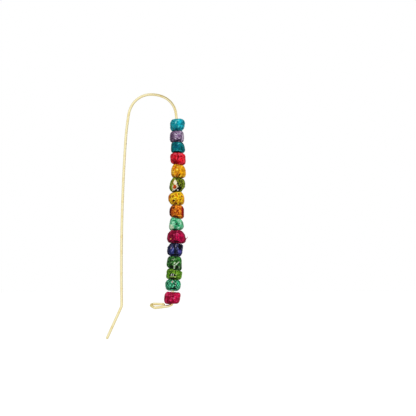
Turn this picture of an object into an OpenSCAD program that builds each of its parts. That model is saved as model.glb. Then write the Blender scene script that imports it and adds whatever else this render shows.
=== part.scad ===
// Long drop earring: one springy wire bent over in a tall arch. Fifteen small cloth-covered beads are
// threaded on its front side, and the wire ends below them in a catch eye. The back side is bare, with
// a kicked-out tail that goes through the pierced ear.
// Sizes in millimetres. Seen from the front, +X is to the right and +Z is up. The origin is on the
// underside of the arch's top, where the ear carries it.

/* [Wire] */
// Diameter of the wire, about 18 gauge
wire_d = 1.05; // [0.8:0.05:1.1]
// Crown of the arch towards the beads: bend radius, and angle in degrees
stem_crown = [13.8, 19.2]; // [5:0.1:30]
// Shoulder of the arch above the beads: bend radius and angle
stem_shoulder = [8.8, 63.6]; // [5:0.1:80]
// Easy bend through the first beads: bend radius and angle
stem_ease = [100, 7.4]; // [5:0.1:120]
// Radius of the long bow through the other beads
stem_bow_r = 1080; // [600:10:2000]
// Crown of the arch towards the bare leg: bend radius and angle
leg_crown = [9.1, 58.6]; // [5:0.1:70]
// Shoulder of the arch above the leg: bend radius and angle
leg_shoulder = [10.9, 22.2]; // [5:0.1:40]
// Easy bend at the leg's top: bend radius and angle
leg_ease = [116, 5.7]; // [4:0.1:140]
// Long bow of the leg: bend radius and angle
leg_bow = [800, 4.8]; // [4:0.1:900]
// Kink between the leg and the tail: bend radius and angle
kink = [3.5, 25.6]; // [1:0.1:40]
// Straight length of the tail
tail_len = 13.5; // [8:0.1:16]

/* [Catch eye] */
// How far inside the last bead's foot the neck starts to bend
neck_inset = 0.25; // [0:0.05:0.4]
// Sharp bend out of the last bead: bend radius and angle
neck_bend = [0.9, 57]; // [0.8:0.1:60]
// Easy bend along the neck: bend radius and angle
neck_ease = [5, 22]; // [4:0.1:24]
// Straight near side of the eye
near_len = 4.4; // [4.2:0.1:6]
// First corner of the eye's tip: bend radius and angle
near_corner = [0.9, 55]; // [0.8:0.1:60]
// Straight across the eye's tip
tip_len = 1.9; // [1.8:0.1:2.4]
// Second corner of the eye's tip: bend radius and angle
far_corner = [0.9, 141]; // [0.8:0.1:142]
// Straight far side of the eye
far_len = 3.6; // [3:0.1:3.8]
// Curl that closes the eye against its neck: bend radius and angle
closing_curl = [0.9, 80]; // [0.8:0.1:82]
// Cut end past the curl
cut_end_len = 0.2; // [0.05:0.05:0.25]
// How far the eye's plane leans up at the back, from level
eye_lean = 28; // [0:1:45]

/* [Beads] */
// Length of wire between the crown's top and the first bead
first_bead_at = 16.8; // [15:0.1:20]
// Bore through each bead
bore_d = 1.35; // [1.2:0.05:1.5]
// Gap between one bead and the next
bead_gap = 0.08; // [0.06:0.01:0.3]
// Depth of a bead from front to back, as a share of its width
bead_depth = 0.97; // [0.85:0.01:1.1]
// Radius of the gathered rim round a bead's hole
rim_r = 0.95; // [0.85:0.05:1.1]
// How far the gathered rim sinks below the bead's end
rim_dip = 0.15; // [0.1:0.05:0.4]
// Depth of the wound cloth's slanting lap, as a share of the radius
lap_depth = 0.02; // [0:0.005:0.04]

/* [Hidden] */
// Columns of bead_table. Half widths are from the wire's own line.
LENGTH = 0;
LEFT_TOP = 1;
LEFT_BELLY = 2;
LEFT_FOOT = 3;
LEFT_AT = 4; // height of the belly on the left, a share of the length from the top
RIGHT_TOP = 5;
RIGHT_BELLY = 6;
RIGHT_FOOT = 7;
RIGHT_AT = 8; // height of the belly on the right
SQUARENESS = 9; // 2 is an ellipse, 5 is nearly a barrel
GATHERS = 10; // pleats round each end
GATHER_DEPTH = 11; // share of the radius
FOOT_SLANT = 12; // rise of the foot's plane towards the right
COLOUR = 13;
bead_table = [
    [4.95, 2.4, 3.0, 2.8, 0.60, 3.0, 3.3, 2.6, 0.35, 3.9, 5, 0.06, 0, "#1d9aa4"],
    [4.55, 3.0, 3.3, 3.3, 0.60, 2.5, 2.7, 2.5, 0.50, 4.6, 7, 0.03, 0, "#84738a"],
    [4.4, 2.8, 2.9, 2.9, 0.60, 2.2, 3.0, 3.1, 0.70, 4.2, 6, 0.03, 0, "#0b6e76"],
    [4.7, 3.0, 3.1, 2.7, 0.50, 2.8, 3.5, 3.15, 0.60, 4.6, 6, 0.04, -0.10, "#bb2934"],
    [5.45, 2.1, 2.8, 2.6, 0.65, 2.9, 3.6, 3.05, 0.60, 3.6, 7, 0.03, -0.08, "#d8951f"],
    [5.8, 2.3, 3.3, 3.0, 0.68, 3.0, 3.35, 2.0, 0.42, 3.6, 5, 0.06, 0.04, "#76722f"],
    [5.35, 2.6, 3.7, 2.6, 0.42, 2.4, 3.1, 3.1, 0.65, 3.8, 6, 0.04, 0.02, "#cf9c1c"],
    [5.2, 2.2, 3.1, 2.8, 0.55, 2.6, 3.2, 3.1, 0.65, 4.0, 8, 0.03, -0.16, "#b4551c"],
    [5.0, 2.4, 2.9, 3.0, 0.65, 2.2, 3.3, 2.9, 0.60, 4.2, 6, 0.04, 0.09, "#66b486"],
    [5.3, 3.0, 3.6, 3.3, 0.55, 2.6, 4.4, 4.0, 0.68, 4.4, 7, 0.05, -0.05, "#981742"],
    [5.3, 2.2, 3.3, 3.0, 0.55, 3.6, 3.3, 2.7, 0.40, 4.2, 5, 0.05, -0.02, "#33355c"],
    [5.3, 2.9, 3.3, 3.1, 0.60, 2.9, 3.1, 3.3, 0.60, 4.8, 6, 0.04, -0.16, "#3f6b3c"],
    [4.1, 2.5, 3.2, 3.3, 0.55, 3.7, 3.4, 2.65, 0.45, 4.8, 7, 0.04, -0.05, "#648a34"],
    [4.5, 2.6, 3.4, 3.0, 0.50, 2.9, 3.2, 2.4, 0.45, 4.2, 8, 0.03, 0, "#2f9068"],
    [4.8, 2.8, 3.55, 2.9, 0.50, 3.3, 3.4, 2.9, 0.45, 5.0, 6, 0.04, 0.08, "#a01440"],
];
bead_names = [
    "bead_01_turquoise", "bead_02_mauve", "bead_03_dark_teal", "bead_04_crimson", "bead_05_mustard",
    "bead_06_olive_print", "bead_07_yellow", "bead_08_rust_orange", "bead_09_mint", "bead_10_magenta",
    "bead_11_navy", "bead_12_leaf_green", "bead_13_lime", "bead_14_emerald", "bead_15_magenta",
];
last_bead = len(bead_table) - 1;

// A row of a wire table is [bend radius, angle, roll]. A straight has radius 0, and its length in place
// of the angle. Roll turns the wire about its own line before the bend.
function straight(length) = [0, length, 0];
function bend(row, roll = 0) = [row[0], row[1], roll];
function run_length(row) = row[0] * row[1] * PI / 180;

last_gap = 0.6; // the gap above the last bead shows a little of the wire

// Length of wire from the crown's top to the top of a bead
function bead_top(i) =
    i == 0 ? first_bead_at :
    bead_top(i - 1) + bead_table[i - 1][LENGTH] + (i == last_bead ? last_gap : bead_gap);
column_end = bead_top(last_bead) + bead_table[last_bead][LENGTH];

upper_stem = [stem_crown, stem_shoulder, stem_ease];
upper_stem_len = run_length(stem_crown) + run_length(stem_shoulder) + run_length(stem_ease);
stem_bow = [stem_bow_r, (column_end - neck_inset - upper_stem_len) * 180 / (PI * stem_bow_r)];
stem = concat(upper_stem, [stem_bow]);

stem_run = concat(
    [for (row = stem) bend(row)],
    [
        bend(neck_bend), bend(neck_ease), straight(near_len),
        bend(near_corner, 90 - eye_lean), straight(tip_len), bend(far_corner), straight(far_len),
        bend(closing_curl), straight(cut_end_len)
    ]
);
leg_run = [
    bend(leg_crown), bend(leg_shoulder), bend(leg_ease), bend(leg_bow),
    bend(kink, 180), straight(tail_len)
];

// Place on the stem, a given length of wire from the crown's top: [x, z, heading], where the heading is
// in degrees below +X. It starts on the wire's centre line at the top of the arch.
function on_stem(length, i = 0, at = [0, wire_d / 2, 0]) =
    let (radius = stem[i][0],
         here = min(length, run_length(stem[i])),
         turned = at[2] + here * 180 / (PI * radius),
         next = [at[0] + radius * (sin(turned) - sin(at[2])),
                 at[1] - radius * (cos(at[2]) - cos(turned)),
                 turned])
    length <= here || i == len(stem) - 1 ? next : on_stem(length - here, i + 1, next);

round_sides = 32; // sides of the wire and of each bore
joint_d = wire_d * 1.01; // a ball a little thicker than the wire fills each joint
least_steps = 48; // facets in a full turn of a sharp bend
steps_in_bend = 12; // facets in an easy bend, however small its angle
most_steps = 1440;

// One round stretch of wire, bent towards +X from the origin and starting along +Z
module wire_bend(radius, angle) {
    steps = max(least_steps, ceil(steps_in_bend * 360 / angle));
    translate([radius, 0, 0])
        rotate([90, 0, 180])
            rotate_extrude(angle = angle, $fn = min(steps, most_steps))
                translate([radius, 0])
                    circle(d = wire_d, $fn = round_sides);
}

// The rows of a wire table, end to end
module wire_run(rows, i = 0) {
    if (i < len(rows)) {
        radius = rows[i][0];
        angle = rows[i][1];
        if (i > 0) sphere(d = joint_d, $fn = round_sides);
        rotate([0, 0, rows[i][2]])
            if (radius == 0) {
                cylinder(d = wire_d, h = angle, $fn = round_sides);
                translate([0, 0, angle]) wire_run(rows, i + 1);
            } else {
                wire_bend(radius, angle);
                translate([radius, 0, 0])
                    rotate([0, angle, 0])
                        translate([-radius, 0, 0]) wire_run(rows, i + 1);
            }
    } else {
        sphere(d = wire_d, $fn = round_sides);
    }
}

module ear_wire() {
    color("#e8d9a0")
        translate([0, 0, wire_d / 2]) {
            rotate([0, 90, 0]) wire_run(stem_run);
            mirror([1, 0, 0]) rotate([0, 90, 0]) wire_run(leg_run);
            sphere(d = joint_d, $fn = round_sides);
        }
}

// A bead is rings of sides_n points from its top to its foot, rings_n of them between the two rims.
sides_n = 16;
rings_n = 14;
steepest = 78; // latitude of the first and last ring, in degrees
gather_turn = 77; // turn of the gathers from one bead to the next, in degrees
lap_turn = 110; // turn of the lap from one bead to the next
lap_twist = 150; // turn of the lap along a bead

function blend(a, b, share) = a + (b - a) * share;

// Half width at a share of the length: from the top out to the belly and in again to the foot
function half_width(top, belly, foot, belly_at, share) =
    share < belly_at
    ? blend(top, belly, sin(90 * share / belly_at))
    : blend(foot, belly, sin(90 * (1 - share) / (1 - belly_at)));

// Gathers deepen towards the ends, and one slanting lap goes round the belly.
function cloth(row, i, angle, share) =
    let (from_middle = abs(2 * share - 1),
         pleat = (1 + cos(row[GATHERS] * angle + gather_turn * i)) / 2,
         lap = cos(2 * angle + lap_twist * share + lap_turn * i))
    1 - row[GATHER_DEPTH] * pow(from_middle, 2) * pleat + lap_depth * (1 - from_middle) * lap;

function bead_point(row, i, above_slant, latitude, angle) =
    let (power = 2 / row[SQUARENESS],
         height = sign(latitude) * pow(abs(sin(latitude)), power),
         share = (1 - height) / 2,
         inward = pow(cos(latitude), power),
         left = half_width(row[LEFT_TOP], row[LEFT_BELLY], row[LEFT_FOOT], row[LEFT_AT], share),
         right = half_width(row[RIGHT_TOP], row[RIGHT_BELLY], row[RIGHT_FOOT], row[RIGHT_AT], share),
         out = cloth(row, i, angle, share),
         x_reach = rim_r + ((left + right) / 2 - rim_r) * inward,
         y_reach = rim_r + ((left + right) / 2 * bead_depth - rim_r) * inward,
         x = (right - left) / 2 * inward + x_reach * out * cos(angle),
         y = y_reach * out * sin(angle))
    [x, y, height * row[LENGTH] / 2 + x * blend(above_slant, row[FOOT_SLANT], share)];

function rim_point(row, angle, side, slant) =
    [rim_r * cos(angle), rim_r * sin(angle),
     side * (row[LENGTH] / 2 - rim_dip) + slant * rim_r * cos(angle)];

module bead_body(row, i) {
    above_slant = i == 0 ? 0 : bead_table[i - 1][FOOT_SLANT];
    angles = [for (j = [0 : sides_n - 1]) 360 * j / sides_n];
    latitudes = [for (k = [0 : rings_n - 1]) steepest * (1 - 2 * k / (rings_n - 1))];
    points = concat(
        [for (a = angles) rim_point(row, a, 1, above_slant)],
        [for (u = latitudes) each [for (a = angles) bead_point(row, i, above_slant, u, a)]],
        [for (a = angles) rim_point(row, a, -1, row[FOOT_SLANT])]
    );
    last_ring = (rings_n + 1) * sides_n;
    walls = [
        for (k = [0 : rings_n]) for (j = [0 : sides_n - 1])
            let (a = k * sides_n + j, b = k * sides_n + (j + 1) % sides_n)
            each [[a, b, a + sides_n], [b, b + sides_n, a + sides_n]]
    ];
    top_face = [for (j = [sides_n - 1 : -1 : 0]) j];
    foot_face = [for (j = [0 : sides_n - 1]) last_ring + j];
    polyhedron(points = points, faces = concat([top_face, foot_face], walls));
}

module bead(i) {
    row = bead_table[i];
    at = on_stem(bead_top(i) + row[LENGTH] / 2);
    color(row[COLOUR])
        translate([at[0], 0, at[1]])
            rotate([0, at[2] - 90, 0])
                difference() {
                    bead_body(row, i);
                    cylinder(d = bore_d, h = 2 * row[LENGTH], center = true, $fn = round_sides);
                }
}

ear_wire();
for (i = [0 : last_bead])
    bead(i);
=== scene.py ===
import math
import random

import bmesh
import bpy
import numpy as np
from mathutils import Matrix, Vector, noise
from mathutils.bvhtree import BVHTree


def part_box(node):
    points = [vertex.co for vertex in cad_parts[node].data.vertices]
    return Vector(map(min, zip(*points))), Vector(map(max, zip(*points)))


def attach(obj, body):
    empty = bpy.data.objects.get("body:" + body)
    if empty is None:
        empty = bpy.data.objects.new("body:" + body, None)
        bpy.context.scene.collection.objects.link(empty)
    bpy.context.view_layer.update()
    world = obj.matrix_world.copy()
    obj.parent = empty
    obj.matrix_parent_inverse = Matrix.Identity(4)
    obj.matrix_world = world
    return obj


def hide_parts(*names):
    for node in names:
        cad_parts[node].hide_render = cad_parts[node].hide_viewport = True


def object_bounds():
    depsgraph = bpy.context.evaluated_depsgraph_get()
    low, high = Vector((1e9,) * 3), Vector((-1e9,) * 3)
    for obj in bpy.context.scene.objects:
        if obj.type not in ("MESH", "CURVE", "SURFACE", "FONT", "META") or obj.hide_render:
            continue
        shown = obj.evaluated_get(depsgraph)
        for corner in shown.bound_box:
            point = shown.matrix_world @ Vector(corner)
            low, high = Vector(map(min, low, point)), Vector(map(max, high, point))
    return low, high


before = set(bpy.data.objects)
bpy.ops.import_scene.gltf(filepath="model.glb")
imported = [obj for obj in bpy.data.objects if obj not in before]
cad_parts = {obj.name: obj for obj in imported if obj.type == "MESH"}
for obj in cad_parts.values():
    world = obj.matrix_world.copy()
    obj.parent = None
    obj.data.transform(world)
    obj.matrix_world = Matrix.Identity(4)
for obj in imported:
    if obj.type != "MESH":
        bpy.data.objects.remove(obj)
cad_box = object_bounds()

MM = 0.001
WELD = 0.001 * MM


def rgb(red, green, blue):
    """A colour as a screen shows it, from 0 to 255, as the light values that a shader takes."""
    shown = [c / 255 for c in (red, green, blue)]
    light = [c / 12.92 if c < 0.04045 else ((c + 0.055) / 1.055) ** 2.4 for c in shown]
    return (*light, 1.0)


# Camera: in front, a little right of the arch and low, so that it looks slightly up
CAMERA_PLACE = Vector((23.68, -430.0, -69.875)) * MM
CAMERA_LOOKS_UP = math.radians(3.0856)
CAMERA_ANGLE = math.radians(22.563)


def place_camera():
    camera = bpy.data.objects.new("camera", bpy.data.cameras.new("camera"))
    bpy.context.scene.collection.objects.link(camera)
    camera.location = CAMERA_PLACE
    camera.rotation_euler = (math.pi / 2 + CAMERA_LOOKS_UP, 0, 0)
    camera.data.sensor_fit = "HORIZONTAL"
    camera.data.angle = CAMERA_ANGLE
    camera.data.clip_start, camera.data.clip_end = 0.01, 50
    bpy.context.scene.camera = camera


class Link:
    """The number, colour or vector that a node gives. Arithmetic on a number adds Math nodes."""

    def __init__(self, nodes, socket):
        self.nodes, self.socket = nodes, socket

    def math(self, operation, *numbers):
        return self.nodes.make("ShaderNodeMath", {"operation": operation}, dict(enumerate(numbers)))

    def __add__(self, other):
        return self.math("ADD", self, other)

    def __sub__(self, other):
        return self.math("SUBTRACT", self, other)

    def __rsub__(self, other):
        return self.math("SUBTRACT", other, self)

    def __mul__(self, other):
        return self.math("MULTIPLY", self, other)

    def __abs__(self):
        return self.math("ABSOLUTE", self)

    __radd__, __rmul__ = __add__, __mul__

    def sine(self):
        return self.math("SINE", self)

    def wrapped(self, low, high):
        return self.math("WRAP", self, high, low)

    def or_more(self, other):
        return self.math("MAXIMUM", self, other)


class Nodes:
    """The node tree of one finish, or of the studio's light."""

    def __init__(self, tree):
        self.tree = tree

    def make(self, kind, settings=None, sockets=None, out=0):
        node = self.tree.nodes.new(kind)
        for name, value in (settings or {}).items():
            if name == "stops":
                self.set_stops(node.color_ramp, value)
            else:
                setattr(node, name, value)
        self.feed(node, sockets or {})
        return Link(self, node.outputs[out])

    def feed(self, node, sockets):
        for name, value in sockets.items():
            if isinstance(value, Link):
                self.tree.links.new(value.socket, node.inputs[name])
            else:
                node.inputs[name].default_value = value

    @staticmethod
    def set_stops(ramp, stops):
        while len(ramp.elements) < len(stops):
            ramp.elements.new(1.0)
        for element, (position, colour) in zip(ramp.elements, stops):
            element.position, element.color = position, colour

    def mix(self, share, a, b, blend="MIX"):
        settings = {"data_type": "RGBA", "blend_type": blend}
        return self.make("ShaderNodeMix", settings, {0: share, 6: a, 7: b}, out=2)

    def ease(self, value, low, high):
        """0 where value is at low, 1 at high, and smooth between them."""
        sockets = {"Value": value, "From Min": low, "From Max": high}
        return self.make("ShaderNodeMapRange", {"interpolation_type": "SMOOTHSTEP"}, sockets)

    def ramp(self, value, stops):
        return self.make("ShaderNodeValToRGB", {"stops": stops}, {"Fac": value})

    def split(self, vector):
        first = self.make("ShaderNodeSeparateXYZ", {}, {0: vector})
        return [Link(self, out) for out in first.socket.node.outputs]

    def join(self, x, y):
        return self.make("ShaderNodeCombineXYZ", {}, {0: x, 1: y})


class Finish(Nodes):
    """A material: its shader, and the coordinates in millimetres that its patterns read."""

    def __init__(self, name, **fixed):
        self.material = bpy.data.materials.new(name)
        self.material.use_nodes = True
        super().__init__(self.material.node_tree)
        self.shader = self.tree.nodes["Principled BSDF"]
        self.feed(self.shader, {key.replace("_", " "): value for key, value in fixed.items()})
        here = self.make("ShaderNodeTexCoord", out=3)
        self.place = self.make("ShaderNodeVectorMath", {"operation": "SCALE"}, {0: here, "Scale": 1 / MM})

    def noise(self, scale, detail=2.0, rough=0.5, at=None):
        sockets = {"Vector": at or self.place, "Scale": scale, "Detail": detail, "Roughness": rough}
        return self.make("ShaderNodeTexNoise", {}, sockets)

    def moved(self, at, place=(0, 0, 0), turn=0.0, scale=(1, 1, 1), kind="POINT"):
        sockets = {"Vector": at, "Location": place, "Rotation": (0, 0, math.radians(turn)), "Scale": scale}
        return self.make("ShaderNodeMapping", {"vector_type": kind}, sockets)

    def raise_surface(self, height):
        """Height is in millimetres."""
        sockets = {"Height": height, "Distance": MM}
        self.feed(self.shader, {"Normal": self.make("ShaderNodeBump", {}, sockets)})


# Wire: the sizes that it is bent to, in millimetres and degrees. A row is a bend's radius and angle, and
# the roll before it. A straight has radius 0 and its length in place of the angle. Last come its sides,
# how far a bend's facets may leave the true curve, and the rings of its round ends.
WIRE_R = 0.525
STEM_ROWS = ((13.8, 19.2), (8.8, 63.6), (100, 7.4), (1080, 3.4792))
EYE_LEAN = 28
EYE_ROWS = ((0.9, 57), (5, 22), (0, 4.4), (0.9, 55, 90 - EYE_LEAN), (0, 1.9), (0.9, 141), (0, 3.6),
            (0.9, 80), (0, 0.2))
LEG_ROWS = ((9.1, 58.6), (10.9, 22.2), (116, 5.7), (800, 4.8), (3.5, 25.6, 180), (0, 13.5))
WIRE_SIDES = 24
CHORD_ERROR = 0.003
DOME_RINGS = 5


def edges_within(made, verts):
    return [g for g in made if isinstance(g, bmesh.types.BMEdge) and all(v in verts for v in g.verts)]


def verts_in(made):
    return {g for g in made if isinstance(g, bmesh.types.BMVert)}


def edges_of(ring):
    """The edges of a new circle, always in the same order."""
    return list(dict.fromkeys(e for v in ring["verts"] for e in v.link_edges))


def draw_out(bm, ring, matrix):
    """Draws a ring of edges out by a matrix, and returns the ring at the far end."""
    made = bmesh.ops.extrude_edge_only(bm, edges=ring)["geom"]
    ends = verts_in(made)
    bmesh.ops.transform(bm, matrix=matrix, verts=list(ends))
    return edges_within(made, ends)


def run_wire(bm, ring, rows, turtle):
    """Carries a ring of edges along bends and straights. Returns the last ring and its turtle."""
    for radius, amount, *roll in rows:
        turtle = turtle @ Matrix.Rotation(math.radians(sum(roll)), 4, "Z")
        if radius == 0:
            step = Matrix.Translation((0, 0, amount * MM))
            ring = draw_out(bm, ring, turtle @ step @ turtle.inverted())
            turtle = turtle @ step
            continue
        angle = math.radians(amount)
        steps = math.ceil(angle / (2 * math.acos(1 - CHORD_ERROR / radius)))
        pivot = Matrix.Translation((radius * MM, 0, 0))
        made = bmesh.ops.spin(
            bm, geom=ring, cent=(turtle @ pivot).translation, axis=turtle.to_3x3() @ Vector((0, 1, 0)),
            angle=angle, steps=steps,
        )["geom_last"]
        ring = edges_within(made, verts_in(made))
        turtle = turtle @ pivot @ Matrix.Rotation(angle, 4, "Y") @ pivot.inverted()
    return ring, turtle


def close_dome(bm, ring, turtle):
    """Rounds off the end of the wire, and closes it with a small flat."""
    for k in range(1, DOME_RINGS + 1):
        before, now = (math.pi / 2 * (k - j) / (DOME_RINGS + 0.5) for j in (1, 0))
        shift = Matrix.Translation((0, 0, WIRE_R * MM * (math.sin(now) - math.sin(before))))
        narrow = math.cos(now) / math.cos(before)
        inward = shift @ Matrix.Diagonal((narrow, narrow, 1, 1))
        ring = draw_out(bm, ring, turtle @ inward @ turtle.inverted())
        turtle = turtle @ shift
    bmesh.ops.contextual_create(bm, geom=ring)


def finish_mesh(bm, name, material):
    mesh = bpy.data.meshes.new(name)
    bm.to_mesh(mesh)
    bm.free()
    mesh.materials.append(material)
    for face in mesh.polygons:
        face.use_smooth = True
    piece = bpy.data.objects.new(name, mesh)
    bpy.context.scene.collection.objects.link(piece)
    return piece


PALE_GOLD, RUBBED_GOLD = (253, 242, 197), (245, 224, 157)


def gold_finish():
    """Pale gold plate, polished and faintly drawn along its length, with a few duller rubbed places."""
    gold = Finish("pale_gold", Metallic=1.0)
    rubbed = gold.noise(0.35, detail=3, rough=0.6)
    grain = gold.noise(6.0, at=gold.moved(gold.place, scale=(1, 1, 0.06)))
    colour = gold.mix(gold.ease(rubbed, 0.45, 0.75), rgb(*PALE_GOLD), rgb(*RUBBED_GOLD))
    gold.feed(gold.shader, {"Base Color": colour, "Roughness": 0.16 + 0.16 * rubbed})
    gold.raise_surface(0.002 * grain)
    return gold.material


def make_wire():
    """Two runs from the top of the arch: the stem with the catch eye, and the bare leg."""
    top = Matrix.Translation((0, 0, WIRE_R * MM))
    bm = bmesh.new()
    for side, rows in ((0, STEM_ROWS + EYE_ROWS), (math.pi, LEG_ROWS)):
        start = top @ Matrix.Rotation(side, 4, "Z") @ Matrix.Rotation(math.pi / 2, 4, "Y")
        ring = bmesh.ops.create_circle(bm, segments=WIRE_SIDES, radius=WIRE_R * MM, matrix=start)
        close_dome(bm, *run_wire(bm, edges_of(ring), rows, start))
    bmesh.ops.remove_doubles(bm, verts=bm.verts, dist=WELD)
    bmesh.ops.recalc_face_normals(bm, faces=bm.faces)
    wire = finish_mesh(bm, "gold_wire", gold_finish())
    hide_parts("ear_wire")
    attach(wire, "root")


# Cloth: how fine a bead is modelled, in columns round it and in rows, most of them outside the hole, and
# how many columns to each side the plain form is evened out over, twice
COLUMNS = 144
ROWS = 68
OUTER_ROWS = 60
LATITUDES = 61
STEEPEST = math.radians(80)
EVENED_OVER = (4, 3)

# The hole, in millimetres: the cloth's radius in it, the radius at which the outer cloth begins, and how
# much shorter than the bore the cloth in it is at each end. A face that spans more than the share that
# is given last of a bead's height is a wall of its bore.
BORE_R = 0.61
MOUTH_R = 0.73
LINING_SHORT = 0.1
BORE_WALL_SHARE = 0.6

# The ends, in millimetres: how deep the solid's rim lies, the gap that is left to the next bead, from
# where to where the cloth is pressed flat, how uneven it stays, and how far it is moved at most
RIM_DIP = 0.15
PRESSED_GAP = 0.045
PRESS_FROM, PRESS_TO = 1.45, 2.35
PRESS_WAVES = 0.09
PRESS_MOST = 0.3

# Where the rays that find the plain form start, and the radius at which the cloth's strip is laid out
# flat, with a quarter of the way round, in millimetres
RAY_START = 12.0
NOMINAL_R = 3.0
QUARTER = NOMINAL_R * math.pi / 2

# Folds: where the gathers start and how soon they are whole, in millimetres from the bore's line, and the
# steep and the easy side of the lap, in radians. Then how close the lumps, crumples, creases and nap lie,
# for each millimetre, and how high the nap stands.
GATHER_FROM, GATHER_SPAN = 1.3, 0.9
LAP_STEEP, LAP_EASY = 0.07, 1.6
LUMPS = 0.42
CRUMPLES = 0.85
CREASES = 1.5
NAP, NAP_HEIGHT = 2.4, 0.02


def ease(share):
    share = max(0.0, min(share, 1.0))
    return share * share * (3 - 2 * share)


class Bead:
    """A bead's place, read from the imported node: its bore's line and its plain form."""

    def __init__(self, node):
        bm = bmesh.new()
        bm.from_mesh(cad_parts[node].data)
        bmesh.ops.remove_doubles(bm, verts=bm.verts, dist=WELD)
        low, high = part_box(node)
        middle = (low.z + high.z) / 2
        tall = BORE_WALL_SHARE * (high.z - low.z)
        bore = dict.fromkeys(v for f in bm.faces if self.height(f) > tall for v in f.verts)
        top = self.centre([v.co for v in bore if v.co.z > middle])
        foot = self.centre([v.co for v in bore if v.co.z < middle])
        up = (top - foot).normalized()
        back = Vector((0, 1, 0))
        axes = Matrix((back.cross(up), back, up)).transposed().to_4x4()
        self.place = Matrix.Translation((top + foot) / 2) @ axes @ Matrix.Scale(MM, 4)
        self.half_bore = (top - foot).length / 2 / MM
        self.ends = [self.end_plane([v.co for v in bore if (v.co.z > middle) == (side > 0)], side)
                     for side in (1, -1)]
        bmesh.ops.transform(bm, matrix=self.place.inverted(), verts=bm.verts)
        self.solid = BVHTree.FromBMesh(bm)
        bm.free()

    @staticmethod
    def height(face):
        heights = [v.co.z for v in face.verts]
        return max(heights) - min(heights)

    @staticmethod
    def centre(points):
        low, high = (Vector([pick(p[i] for p in points) for i in range(3)]) for pick in (min, max))
        return (low + high) / 2

    def end_plane(self, rim, side):
        """Where the cloth lies pressed against the next bead: its height at the bore, and its rise."""
        points = [self.place.inverted() @ co for co in rim]
        low, high = (pick(points, key=lambda p: p.x) for pick in (min, max))
        rise = (high.z - low.z) / (high.x - low.x)
        level = (low.z + high.z) / 2 - rise * (low.x + high.x) / 2
        return level + side * (RIM_DIP + PRESSED_GAP / 2), rise

    def press(self, point):
        """Flattens the cloth round the hole, where two beads push against each other."""
        level, rise = self.ends[0 if point.z > 0 else 1]
        waves = PRESS_WAVES * noise.noise(self.place @ point / MM * 0.55)
        share = ease((PRESS_TO - point.xy.length) / (PRESS_TO - PRESS_FROM))
        lift = max(-PRESS_MOST, min(level + rise * point.x + waves - point.z, PRESS_MOST))
        return point + Vector((0, 0, share * lift))

    def reach(self, turn, latitude):
        """Distance from the bead's middle to its surface, towards a turn from the front."""
        level = math.cos(latitude)
        way = Vector((level * math.sin(turn), -level * math.cos(turn), math.sin(latitude)))
        hit, _, _, _ = self.solid.ray_cast(way * RAY_START, -way)
        return hit.length if hit else 0.0

    def grid(self):
        """Points of the plain form, rows by columns, evenly spaced from the top hole to the foot's, and
        how long a column is on average."""
        turns = [2 * math.pi * k / COLUMNS for k in range(COLUMNS)]
        latitudes = np.linspace(STEEPEST, -STEEPEST, LATITUDES)
        reach = np.array([[self.reach(t, u) for u in latitudes] for t in turns])
        for width in EVENED_OVER:
            reach = sum(np.roll(reach, k, 0) for k in range(-width, width + 1)) / (2 * width + 1)
        points = np.zeros((OUTER_ROWS, COLUMNS, 3))
        runs = []
        for k, turn in enumerate(turns):
            across, up = reach[k] * np.cos(latitudes), reach[k] * np.sin(latitudes)
            keep = across > MOUTH_R
            across, up = across[keep], up[keep]
            run = np.concatenate([[0], np.cumsum(np.hypot(np.diff(across), np.diff(up)))])
            even = np.linspace(0, run[-1], OUTER_ROWS)
            r = np.interp(even, run, across)
            points[:, k] = np.stack([r * math.sin(turn), -r * math.cos(turn), np.interp(even, run, up)], 1)
            runs.append(run[-1])
        return points, sum(runs) / len(runs)


def outward(grid):
    """The way out of the cloth at each point of a grid."""
    down = np.gradient(grid, axis=0)
    along = (np.roll(grid, -1, 1) - np.roll(grid, 1, 1)) / 2
    normal = np.cross(down, along)
    normal /= np.linalg.norm(normal, axis=2, keepdims=True)
    middle = OUTER_ROWS // 2
    return normal if (normal[middle] * grid[middle]).sum() > 0 else -normal


def crease(angle):
    """1 in a narrow valley at each whole turn, 0 on the rounded folds between."""
    return (1 - abs(math.sin(angle / 2))) ** 2


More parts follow.
